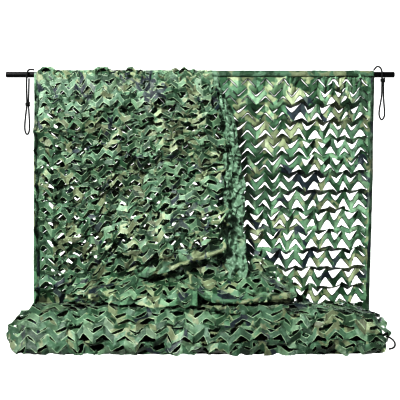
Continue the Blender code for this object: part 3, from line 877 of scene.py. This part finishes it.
def fold_layer(cols, rows, band_b, radius, seed, depth, out_share, left, right, floor_z, steps, slab, size):
    """One layer of the fold. left and right shift its edges, in metres; it hangs down to floor_z at least."""
    s = Sheet(cols=cols, rows=rows, band_l=0.022, band_r=0.0, band_b=band_b)
    u, w = s.flat[:, 0], s.flat[:, 1]
    fold, edge = np.array(FOLD), np.array(EDGE)
    share = u / s.width
    z = ROD_Z - (ROD_Z - 0.3) * np.clip((w - 0.07) / (s.length - 0.07), 0, 1)
    for _ in range(3):
        x_right = np.interp(z, edge[:, 0], edge[:, 1]) + right
        x_left = -0.742 * (1 - (depth + radius) / 3.0) + left * smooth((1.0 - z) / 0.3)
        x = x_left + (x_right - x_left) * share
        drop = np.minimum(np.interp(x, fold[:, 0], fold[:, 1]), floor_z)
        y, z, hang = over_rod(w, 0.012, radius, drop, s.length)
    out = np.interp(x, fold[:, 0], fold[:, 2]) * out_share
    lean = depth * smooth(hang / 0.20) + (out - depth) * smooth((hang - 0.45) / 0.55)
    y = y - lean
    place = np.stack([x, z], 1)
    broad = soft_noise(place, seed + 1, 0.24)
    loose = smooth((w - 0.040) / 0.05)
    crumple = loose * (0.30 + 0.70 * smooth((hang - 0.02) / 0.16))
    hem = 1 - (1 - smooth((s.length - w) / 0.05)) * smooth((x + 0.22) / 0.1)  # the lower hem stays smoother on the right
    y = y + loose * 0.010 * broad
    centre = y.astype(np.float32).copy()
    lean, rise = s.flaps(seed + 2, 0.30 * size * crumple * hem, 1.10 * size * crumple * hem, together=0.10, bias=0.0, least=0.30, yaw=0.90, bulge=0.012 * size)
    y = y + lean + 0.012 * crumple * hem * soft_noise(s.flat, seed + 5, 0.075) + s.tilts(seed + 6, 2.4) * crumple * hem
    z = z + rise
    inside = smooth((u - 0.022) / 0.06)
    x = x + crumple * hem * inside * 0.025 * soft_noise(s.flat, seed + 3, 0.075)
    z = z + crumple * hem * 0.028 * soft_noise(s.flat * np.array([1.0, 0.7]), seed + 4, 0.095)
    tip = smooth((soft_noise(np.stack([u, u * 0], 1), seed + 8, 0.075) - 0.30) / 0.40) * np.exp(-(((w - 0.047) / 0.016) ** 2))
    z = z + 0.014 * tip
    y = y - 0.004 * tip
    pos = np.stack([x, y, z], 1)
    pins = np.zeros(s.n, bool)
    tuft = soft_noise(np.stack([u, u * 0], 1), seed + 9, 0.09) > 0.55
    pins[(w < 0.052) & ~(tuft & (w > 0.02))] = True
    pins[s.above[-1][::10]] = True
    for ids in (s.above, s.below):
        pins[ids[:, 0]] = True
        pins[ids[::3, -1]] = True
    near_top = w < 0.10

    def push(x, before, t):
        free = ~near_top
        x[free, 1] = np.clip(x[free, 1], centre[free] - slab, centre[free] + slab)
        keep_off_rod(x, radius - 0.001)

    ids = s.bridges
    curl = (0.40 * smooth((-0.60 - x) / 0.05) * smooth((0.82 - z) / 0.15)).astype(np.float32)
    k = np.array([[0.12, 0.05, 0.12]], np.float32)
    pos = settle(s, pos, np.where(pins)[0], steps, gravity=0.00004, bend=0.05, damp=0.7, hold=(ids, pos[ids].astype(np.float32), k), push=push, inner=5, curl=curl, ease=EASE)
    pos = s.flatten(pos, 0.8 * loose * hem)
    return s, pos


s_mid, x_mid = fold_layer(11, 14, 0.0, 0.0172, 11, 0.041, 0.90, 0.08, -0.02, 0.130, 5, 0.044, 0.90)
mid = make_piece("net_fold_inner", s_mid, x_mid, CLOTH_SHADE, seed=2.0)
s_front, x_front = fold_layer(12, 14, 0.022, 0.0210, 21, 0.048, 1.0, 0.0, 0.0, 1.0, 5, 0.060, 1.00)
front = make_piece("net_fold_front", s_front, x_front, CLOTH, seed=3.0)
hem, size = hem_strip("net_hem_left", s_front, x_front, s_front.above[3:, :3], HEM_DARK, 10.0)
cols = np.where(x_front[s_front.above[-1], 0] > -0.13)[0]
hem, size = hem_strip("net_hem_flap", s_front, x_front, s_front.above[-3:, cols].T, HEM_KHAKI, 11.0, blur=6, front=0.0016, back=0.0010)


BAND_WIDE, BAND_LONG = 0.120, 1.180


def fold_band():
    """The fold's uncut edge: a long band that hangs in small crumples down to the pile."""
    ni, nj = 31, 300
    u, w = np.meshgrid(np.linspace(0, BAND_WIDE, ni), np.linspace(0, BAND_LONG, nj))
    flat = np.stack([u, w], -1).reshape(-1, 2)
    edge = np.array(EDGE)
    y, z, hang = over_rod(w, 0.012, 0.0190, 0.175, BAND_LONG)
    loose = smooth(hang / 0.08)

    def crease(seed, scale):
        return (1 - 2 * np.abs(soft_noise(flat * np.array([1.0, 0.8]), seed, scale))).reshape(nj, ni)

    left = np.interp(z, edge[:, 0], edge[:, 1]) - 0.010
    right = np.interp(z, edge[:, 0], edge[:, 2]) + loose * 0.006 * np.sin(31 * w + 1.0) * np.sin(13 * w)
    share = u / BAND_WIDE
    x = left + (right - left) * share
    roll = 0.005 * np.sin(share * math.pi * 2.6 + 5 * z + 0.8) + 0.030 * (1 - smooth(share / 0.22)) * loose
    y = y - 0.054 * smooth(hang / 0.2) - 0.062 * smooth((hang - 0.70) / 0.3)
    y = y + loose * (roll - 0.0062 * crease(72, 0.070) - 0.0060 * crease(73, 0.038) - 0.0018 * crease(74, 0.018))
    x = x + loose * 0.004 * crease(75, 0.050)
    z = z + loose * 0.005 * crease(76, 0.045)
    return np.stack([x, y, z], -1), flat.reshape(nj, ni, 2)


band_points, band_flat = fold_band()
band = make_grid("net_fold_band", band_points, band_flat + 21.0, BAND_LIT)


# ---------------------------------------------------------------- the pile
# The pile's section: how deep in front of the rod, and how high, its core reaches.
PROFILE_COLUMNS = ("depth", "height")
PROFILE = (
    (0.000, 0.116),
    (0.100, 0.138),
    (0.195, 0.160),
    (0.240, 0.164),
    (0.283, 0.146),
    (0.320, 0.106),
    (0.347, 0.062),
    (0.355, 0.032),
    (0.343, 0.000),
)
# Along the rod's direction: x, share of the full height, share of the full depth.
PILE_COLUMNS = ("x", "height", "depth")
PILE = (
    (-0.800, 0.52, 0.86),
    (-0.765, 0.76, 0.93),
    (-0.700, 0.95, 0.98),
    (-0.560, 1.00, 1.00),
    (-0.300, 1.02, 1.01),
    (0.000, 1.00, 1.01),
    (0.300, 0.99, 1.01),
    (0.560, 0.98, 1.00),
    (0.690, 0.92, 0.98),
    (0.764, 0.68, 0.92),
)
PILE_LEFT, PILE_RIGHT = -0.780, 0.764
PILE_ROUND = 0.040


def pile_scale(x):
    t = np.array(PILE)
    return np.interp(x, t[:, 0], t[:, 2]), np.interp(x, t[:, 0], t[:, 1])


def pile_gap(p, grow):
    """Distance outside the pile's core, grown by grow, and its outward direction."""
    deep, high = pile_scale(p[:, 0])
    q = np.stack([(ROD_Y - p[:, 1]) / deep, p[:, 2] / high], 1)
    line = np.array(PROFILE)
    start, along = line[:-1], np.diff(line, axis=0)
    rel = q[:, None] - start[None]
    share = np.clip((rel * along).sum(2) / (along * along).sum(1), 0, 1)
    off = rel - share[:, :, None] * along
    k = (off * off).sum(2).argmin(1)
    off = off[np.arange(len(p)), k]
    normal = np.stack([-along[k, 1], along[k, 0]], 1)
    normal /= np.linalg.norm(normal, axis=1)[:, None]
    far = np.linalg.norm(off, axis=1)
    sign = np.where((off * normal).sum(1) >= 0, 1.0, -1.0)
    away = np.where((far > 1e-6)[:, None], off * sign[:, None] / np.maximum(far, 1e-6)[:, None], normal)
    side = np.where(p[:, 0] > 0, 1.0, -1.0)
    squeeze = 0.050 * smooth(np.abs(p[:, 2] - 0.085) / 0.11)
    end = np.maximum(p[:, 0] - (PILE_RIGHT - 0.018 - squeeze), (PILE_LEFT + 0.018 + squeeze) - p[:, 0])
    r = PILE_ROUND
    both = np.stack([far * sign - grow, end - grow], 1) + r
    pos = np.maximum(both, 0)
    outside = np.linalg.norm(pos, axis=1)
    gap = outside + np.minimum(both.max(1), 0) - r
    w = np.where((outside > 1e-6)[:, None], pos / np.maximum(outside, 1e-6)[:, None], np.eye(2)[both.argmax(1)])
    direction = np.stack([w[:, 1] * side, -w[:, 0] * away[:, 0], w[:, 0] * away[:, 1]], 1)
    direction /= np.linalg.norm(direction, axis=1)[:, None]
    return gap, direction


def keep_off_pile(x, grow, grip=0.0, before=None):
    gap, out = pile_gap(x, grow)
    deep = gap < 0
    x[deep] -= (gap[deep, None] * out[deep]).astype(np.float32)
    if before is not None and grip:
        x[deep, :2] += (before[deep, :2] - x[deep, :2]) * grip
    np.maximum(x[:, 2], 0.0015, out=x[:, 2])


def pile_cover():
    s = Sheet(cols=20, rows=6, band_l=0.0, band_r=0.0, band_t=0.022, fade_b=False)
    u, w = s.flat[:, 0], s.flat[:, 1]
    # walk along the section: from the back over the crest, down the front and a little under it
    cx = (PILE_LEFT + PILE_RIGHT) / 2
    flat_half = (PILE_RIGHT - PILE_LEFT) / 2 - 0.02
    along = (u - s.width / 2) * 0.965
    over = np.maximum(np.abs(along) - flat_half, 0)
    x = cx + np.sign(along) * (np.minimum(np.abs(along), flat_half) + 0.045 * np.sin(np.minimum(over / 0.045, math.pi / 2)))
    x = x - (x - cx) / 0.77 * 0.040 * smooth((0.24 - w) / 0.24)
    sink = np.where(over > 0, 0.045 * (1 - np.cos(np.minimum(over / 0.045, math.pi / 2))) + np.maximum(over - 0.0707, 0), 0)
    line = np.array(PROFILE)
    run = np.concatenate([[0], np.cumsum(np.linalg.norm(np.diff(line, axis=0), axis=1))])
    at = 0.025 + w / s.length * (run[-1] - 0.020)
    deep, high = pile_scale(x)
    y = -np.interp(at, run, line[:, 0]) * deep + 0.6 * np.maximum(at - run[-1], 0)
    z = np.maximum(np.interp(at, run, line[:, 1]) * high - sink, 0.004)
    _, out = pile_gap(np.stack([x, ROD_Y + y, z], 1), 0.0)
    loose = (0.70 + 0.30 * smooth((x + 0.45) / 0.5)) * smooth((0.80 - np.abs(x - cx)) / 0.06 + 0.4)
    lean, rise = s.flaps(40, 0.24 * loose, 0.50 * loose, together=0.10, bias=-0.1, least=0.10, yaw=1.3, bulge=0.014, shingle=0.25)
    lean = lean + 0.012 * loose * soft_noise(s.flat, 41, 0.08) + s.tilts(46, 2.1) * loose
    inner = smooth(w / 0.10) * smooth((s.length - w) / 0.10)
    away = smooth((flat_half + 0.02 - np.abs(along)) / 0.12)
    x = x + loose * away * (0.026 * soft_noise(s.flat, 43, 0.07) + 0.026 * soft_noise(s.flat, 47, 0.22))
    slip = loose * smooth((s.length - w) / 0.07) * (0.022 * soft_noise(s.flat, 44, 0.07) + 0.028 * inner * soft_noise(s.flat, 48, 0.24))
    downhill = np.stack([np.zeros_like(x), -out[:, 2], out[:, 1]], 1)
    pos = np.stack([x, ROD_Y + y, z], 1) + out * (0.011 + lean[:, None]) + downhill * (slip - rise)[:, None]
    pins = np.zeros(s.n, bool)
    pins[s.above[0]] = True

    def push(x, before, t):
        keep_off_pile(x, -0.012, 0.3, before)
        np.clip(x[:, 1], ROD_Y - 0.396, ROD_Y - 0.020, out=x[:, 1])
        gap, out = pile_gap(x, 0.034)
        far = gap > 0
        x[far] -= (gap[far, None] * out[far] * 0.5).astype(np.float32)
        np.maximum(x[:, 2], 0.0015, out=x[:, 2])

    curl = (0.010 + 0.035 * loose).astype(np.float32)
    pos = settle(s, pos, np.where(pins)[0], 14, gravity=0.00006, bend=0.05, damp=0.7, push=push, inner=5, curl=curl)
    pos = s.flatten(pos, 0.7 * loose)
    pos[:, 2] = np.maximum(pos[:, 2], 0.001)
    return s, pos


s_pile, x_pile = pile_cover()
pile = make_piece("net_pile_top", s_pile, x_pile, CLOTH_PILE, seed=4.0)


def inner_pile():
    """The layers under the pile's top: back and forth, flatter than the top and dark between."""
    s = Sheet(cols=20, rows=19, band_l=0.0, band_r=0.0, slits=False)
    u, w = s.flat[:, 0], s.flat[:, 1]
    x0 = PILE_LEFT + 0.030 + (PILE_RIGHT - PILE_LEFT - 0.060) * u / s.width
    deep, high = pile_scale(x0)
    line = np.array(PROFILE)[:7]
    passes = 5
    d = w / s.length * passes
    k = np.minimum(np.floor(d), passes - 1)
    f = d - k
    go = np.where(k % 2 == 0, f, 1 - f)
    depth = 0.022 + 0.306 * go
    level = (k + 0.5 + 0.5 * np.sin((f - 0.5) * math.pi) ** 7) / passes
    height = (np.interp(depth, line[:, 0], line[:, 1]) - 0.001) * high
    z = 0.004 + (height - 0.004) * (1 - level)
    bulge = 0.012 * np.sin(np.clip(np.abs(f - 0.5) * 2 - 0.8, 0, 1) / 0.2 * math.pi / 2)
    y = -depth * deep + np.where(go < 0.5, bulge, -bulge)
    y = y + 0.004 * soft_noise(s.flat, 51, 0.08)
    z = z + 0.003 * soft_noise(s.flat, 52, 0.08)
    return s, np.stack([x0, ROD_Y + y, np.maximum(z, 0.002)], 1)


s_in, x_in = inner_pile()
inner = make_piece("net_pile_inner", s_in, x_in, CLOTH_DARK, seed=5.0)


# ---------------------------------------------------------------- slack cloth at the foot, in front of the back
# Lower hem of the slack: x, height, and how far in front of the rod.
SLACK_COLUMNS = ("x", "z", "out")
SLACK_LEFT = (
    (-0.470, 0.176, 0.190),
    (-0.350, 0.178, 0.240),
    (-0.215, 0.172, 0.270),
    (-0.098, 0.172, 0.272),
    (-0.010, 0.176, 0.262),
)
SLACK_RIGHT = (
    (-0.060, 0.244, 0.150),
    (-0.030, 0.226, 0.175),
    (0.020, 0.190, 0.215),
    (0.062, 0.182, 0.245),
    (0.185, 0.180, 0.245),
    (0.285, 0.186, 0.225),
    (0.410, 0.192, 0.170),
)


def slack(cols, rows, seed, table, near, turn, top, hemmed):
    """Slack cloth from the back's foot to its own lower hem; near is how much of the way forward it comes,
    top the height (left, middle, right) at which it leaves the back."""
    s = Sheet(cols=cols, rows=rows, band_l=0.022, band_r=0.022, band_b=0.022 if hemmed else 0.0)
    u, w = s.flat[:, 0], s.flat[:, 1]
    t = np.array(table)
    part = u / s.width
    x = t[0, 0] + (t[-1, 0] - t[0, 0]) * part
    z1, out = np.interp(x, t[:, 0], t[:, 1]), np.interp(x, t[:, 0], t[:, 2])
    share = np.clip(w / s.length, 0, 1)
    z0 = np.interp(part, (0.0, 0.2, 0.65, 1.0), (top[0], top[1], top[1], top[2]))
    y = -0.036 - near * ((out - 0.036) * smooth((share - 0.20) / 0.80) + 0.018 * np.sin(share * math.pi) ** 2)
    z = z0 + (z1 - (1 - near) * 0.03 - z0) * share
    hem = smooth((s.length - w) / 0.05) if hemmed else 1.0
    lean, rise = s.flaps(seed, 0.7 * turn * hem, 1.1 * turn * hem, together=0.3, bias=0.1, least=0.25, yaw=0.5, bulge=0.012 * near)
    y = y + lean + hem * 0.012 * near * soft_noise(s.flat, seed + 1, 0.11)
    z = z + rise + hem * 0.014 * near * soft_noise(s.flat, seed + 2, 0.09)
    x = x + hem * 0.014 * near * soft_noise(s.flat, seed + 3, 0.11)
    pos = np.stack([x, ROD_Y + y, z], 1)
    pins = np.zeros(s.n, bool)
    pins[s.above[0][::6]] = True
    pins[s.above[-1][::6]] = True

    def push(x, before, t):
        keep_off_pile(x, 0.018 if near > 0.5 else 0.004)
        np.clip(x[:, 1], ROD_Y - 0.315, ROD_Y - 0.030, out=x[:, 1])
        np.clip(x[:, 2], 0, 0.40, out=x[:, 2])

    pos = settle(s, pos, np.where(pins)[0], 8, gravity=0.00005, bend=0.05, damp=0.7, push=push, inner=5)
    return s, s.flatten(pos, 0.8 * hem)


def slack_piece(name, mat, seed, *how):
    s, x = slack(*how)
    obj = make_piece(name, s, x, mat, seed=seed)
    return s, x


UNDER = ((-0.600, 0.165, 0.100), (-0.30, 0.172, 0.160), (0.100, 0.172, 0.160), (0.420, 0.165, 0.100))
slack_piece("net_slack_inner", CLOTH_SHADE, 12.0, 12, 4, 80, UNDER, 0.4, 0.30, (0.22, 0.38, 0.20), False)
slack_piece("net_slack_left", CLOTH, 14.0, 6, 4, 90, SLACK_LEFT, 1.0, 0.95, (0.25, 0.33, 0.33), False)
s_slack, x_slack = slack_piece("net_slack", CLOTH, 6.0, 6, 4, 60, SLACK_RIGHT, 1.0, 0.95, (0.35, 0.36, 0.215), True)
cols = np.arange(1, s_slack.ni)
hem, size = hem_strip("net_hem_slack", s_slack, x_slack, s_slack.above[-3:, cols].T, HEM_SLACK, 13.0, blur=5, front=0.0016, back=0.0010)


# ---------------------------------------------------------------- ties
def through(points, step):
    p = np.array(points, float)
    p = np.concatenate([2 * p[:1] - p[1:2], p, 2 * p[-1:] - p[-2:-1]])
    dense = []
    for i in range(1, len(p) - 2):
        for t in np.linspace(0, 1, 40, endpoint=False):
            a, b, c, d = p[i - 1 : i + 3]
            dense.append(0.5 * (2 * b + (c - a) * t + (2 * a - 5 * b + 4 * c - d) * t**2 + (3 * b - a - 3 * c + d) * t**3))
    dense = np.array(dense + [p[-2]])
    along = np.concatenate([[0], np.cumsum(np.linalg.norm(np.diff(dense, axis=0), axis=1))])
    at = np.linspace(0, along[-1], max(4, int(round(along[-1] / step)) + 1))
    return np.stack([np.interp(at, along, dense[:, k]) for k in range(3)], 1)


CORD_D = 0.0072
LEFT_TIE = (
    (-0.7450, 0.0080, 0.0225),
    (-0.7530, 0.0040, 0.0240),
    (-0.7610, -0.0050, 0.0230),
    (-0.7665, -0.0155, 0.0170),
    (-0.7695, -0.0222, 0.0040),
    (-0.7710, -0.0225, -0.0150),
    (-0.7725, -0.0210, -0.0500),
    (-0.7720, -0.0195, -0.0900),
    (-0.7712, -0.0190, -0.1330),
    (-0.7750, -0.0192, -0.1700),
    (-0.7800, -0.0194, -0.2200),
    (-0.7790, -0.0195, -0.2520),
    (-0.7700, -0.0196, -0.2685),
    (-0.7610, -0.0196, -0.2540),
    (-0.7595, -0.0195, -0.2200),
    (-0.7620, -0.0194, -0.1700),
    (-0.7640, -0.0193, -0.1330),
    (-0.7630, -0.0195, -0.0900),
    (-0.7620, -0.0205, -0.0500),
    (-0.7610, -0.0215, -0.0180),
)
RIGHT_TIE = (
    (0.7740, -0.0120, 0.0190),
    (0.7830, -0.0080, 0.0300),
    (0.7930, 0.0000, 0.0370),
    (0.8030, -0.0100, 0.0310),
    (0.8080, -0.0205, 0.0120),
    (0.8085, -0.0205, -0.0200),
    (0.8080, -0.0200, -0.0600),
    (0.8075, -0.0195, -0.0900),
    (0.8035, -0.0195, -0.1200),
    (0.7965, -0.0195, -0.1600),
    (0.7968, -0.0195, -0.1860),
    (0.8075, -0.0195, -0.2030),
    (0.8190, -0.0195, -0.1860),
    (0.8195, -0.0195, -0.1600),
    (0.8165, -0.0195, -0.1200),
    (0.8155, -0.0195, -0.0900),
    (0.8155, -0.0200, -0.0600),
    (0.8158, -0.0205, -0.0220),
)
FLOOR_TIE = (
    (0.7560, -0.2750, 0.0540),
    (0.7640, -0.2880, 0.0550),
    (0.7730, -0.3020, 0.0510),
    (0.7790, -0.3160, 0.0420),
    (0.7760, -0.3280, 0.0310),
    (0.7640, -0.3340, 0.0240),
    (0.7500, -0.3330, 0.0210),
)


def knot(name, x, y, z, wide, turns):
    """A few turns of the cord round both strands of a tie."""
    a = np.linspace(0, 2 * math.pi * turns, 22 * turns)
    rise = (np.arange(len(a)) / (len(a) - 1) - 0.5) * CORD_D * 0.92 * turns
    p = np.stack([x + wide * np.cos(a), ROD_Y + y + CORD_D * 0.98 * np.sin(a), z + rise + 0.0008 * np.sin(a + 1)], 1)
    curve = bpy.data.curves.new(name, "CURVE")
    curve.dimensions = "3D"
    curve.bevel_depth = CORD_D / 2
    curve.bevel_resolution = 3
    curve.use_fill_caps = True
    spline = curve.splines.new("POLY")
    spline.points.add(len(p) - 1)
    for point, co in zip(spline.points, p):
        point.co = (*co, 1.0)
    obj = bpy.data.objects.new(name, curve)
    bpy.context.scene.collection.objects.link(obj)
    curve.materials.append(CORD_MAT)
    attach(obj, "root")
    return obj


def tie(name, node, route, base_z, with_pieces=()):
    pts = through([(x, ROD_Y + y, base_z + z) for x, y, z in route], 0.006)
    curve = bpy.data.curves.new(name, "CURVE")
    curve.dimensions = "3D"
    curve.bevel_depth = CORD_D / 2
    curve.bevel_resolution = 3
    curve.use_fill_caps = True
    spline = curve.splines.new("POLY")
    spline.points.add(len(pts) - 1)
    for point, co in zip(spline.points, pts):
        point.co = (*co, 1.0)
    obj = bpy.data.objects.new(name, curve)
    bpy.context.scene.collection.objects.link(obj)
    curve.materials.append(CORD_MAT)
    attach(obj, "root")
    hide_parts(node)
    return obj


tie("cord_left", "tie_left", LEFT_TIE, ROD_Z, [knot("knot_left", -0.7676, -0.0192, ROD_Z - 0.133, 0.0074, 2)])
tie("cord_right", "tie_right", RIGHT_TIE, ROD_Z, [knot("knot_right", 0.8120, -0.0200, ROD_Z - 0.026, 0.0078, 2)])
tie("cord_floor", "tie_floor", FLOOR_TIE, 0.0)


# ---------------------------------------------------------------- floor, light, camera
def studio():
    def stage(name, rings, glow):
        """A surface of revolution about the origin: rings of radius and height."""
        n_a = 64
        verts = [(r * math.cos(a), r * math.sin(a), z) for r, z in rings for a in (2 * math.pi * k / n_a for k in range(n_a))]
        faces = [(i * n_a + k, (i + 1) * n_a + k, (i + 1) * n_a + (k + 1) % n_a, i * n_a + (k + 1) % n_a) for i in range(len(rings) - 1) for k in range(n_a)]
        mesh = bpy.data.meshes.new(name)
        mesh.from_pydata(verts, [], faces)
        mesh.shade_smooth()
        obj = bpy.data.objects.new(name, mesh)
        bpy.context.scene.collection.objects.link(obj)
        n = Nodes(name + "_white")
        n.shader.inputs["Base Color"].default_value = (0.06, 0.06, 0.06, 1)
        n.shader.inputs["Roughness"].default_value = 0.9
        n.shader.inputs["Specular IOR Level"].default_value = 0.1
        n.shader.inputs["Emission Color"].default_value = (1, 1, 1, 1)
        n.shader.inputs["Emission Strength"].default_value = glow
        mesh.materials.append(n.mat)
        obj.visible_diffuse = False  # a dark studio: the stage sends no light back into the folds
        return obj

    stage("floor", [(0.001, 0.0), (1.0, 0.0), (2.0, 0.0), (4.0, 0.0), (8.0, 0.0)], 0.94)
    wall = stage("backdrop", [(8.0, 0.0), (9.5, 0.10), (10.4, 0.6), (10.8, 1.6), (10.9, 7.0), (10.0, 9.5), (6.0, 11.5), (0.001, 12.0)], 0.94)
    wall.visible_glossy = False
    wall.visible_shadow = False

    def area(name, loc, aim, size, power, colour=(1, 1, 1)):
        light = bpy.data.lights.new(name, "AREA")
        light.shape = "RECTANGLE"
        light.size, light.size_y = size
        light.energy = power
        light.color = colour
        o = bpy.data.objects.new(name, light)
        o.location = loc
        o.rotation_euler = (Vector(aim) - Vector(loc)).to_track_quat("-Z", "Y").to_euler()
        bpy.context.scene.collection.objects.link(o)

    area("key", (-4.0, -5.8, 5.6), (0, 0.1, 0.5), (1.3, 1.3), 1200)
    area("front", (0.5, -3.6, 1.5), (0, 0.1, 0.5), (1.4, 1.4), 14)
    area("top", (0.2, -0.6, 3.2), (0, 0.15, 0.3), (2.4, 0.8), 12)
    area("behind", (0.8, 4.2, 2.6), (0, 0.2, 0.6), (1.6, 1.6), 130)
    area("side", (4.4, -0.4, 1.9), (0.7, 0.1, 0.3), (1.6, 1.6), 40)
    world = bpy.data.worlds.new("studio")
    world.use_nodes = True
    bpy.context.scene.world = world
    bg = world.node_tree.nodes["Background"]
    bg.inputs["Color"].default_value = (1, 1, 1, 1)
    bg.inputs["Strength"].default_value = 0.11
    view = bpy.context.scene.view_settings
    view.view_transform = "Standard"
    view.look = "Very High Contrast"
    view.gamma = 0.84


studio()

cam_data = bpy.data.cameras.new("camera")
cam_data.sensor_width = 36.0
cam_data.lens = 36.0 * 670.0 / 400.0
cam_data.shift_y = -50.0 / 400.0
cam = bpy.data.objects.new("camera", cam_data)
cam.location = (-0.001, ROD_Y - 3.0, 0.813)
cam.rotation_euler = (math.radians(90), 0, 0)
bpy.context.scene.collection.objects.link(cam)
bpy.context.scene.camera = cam
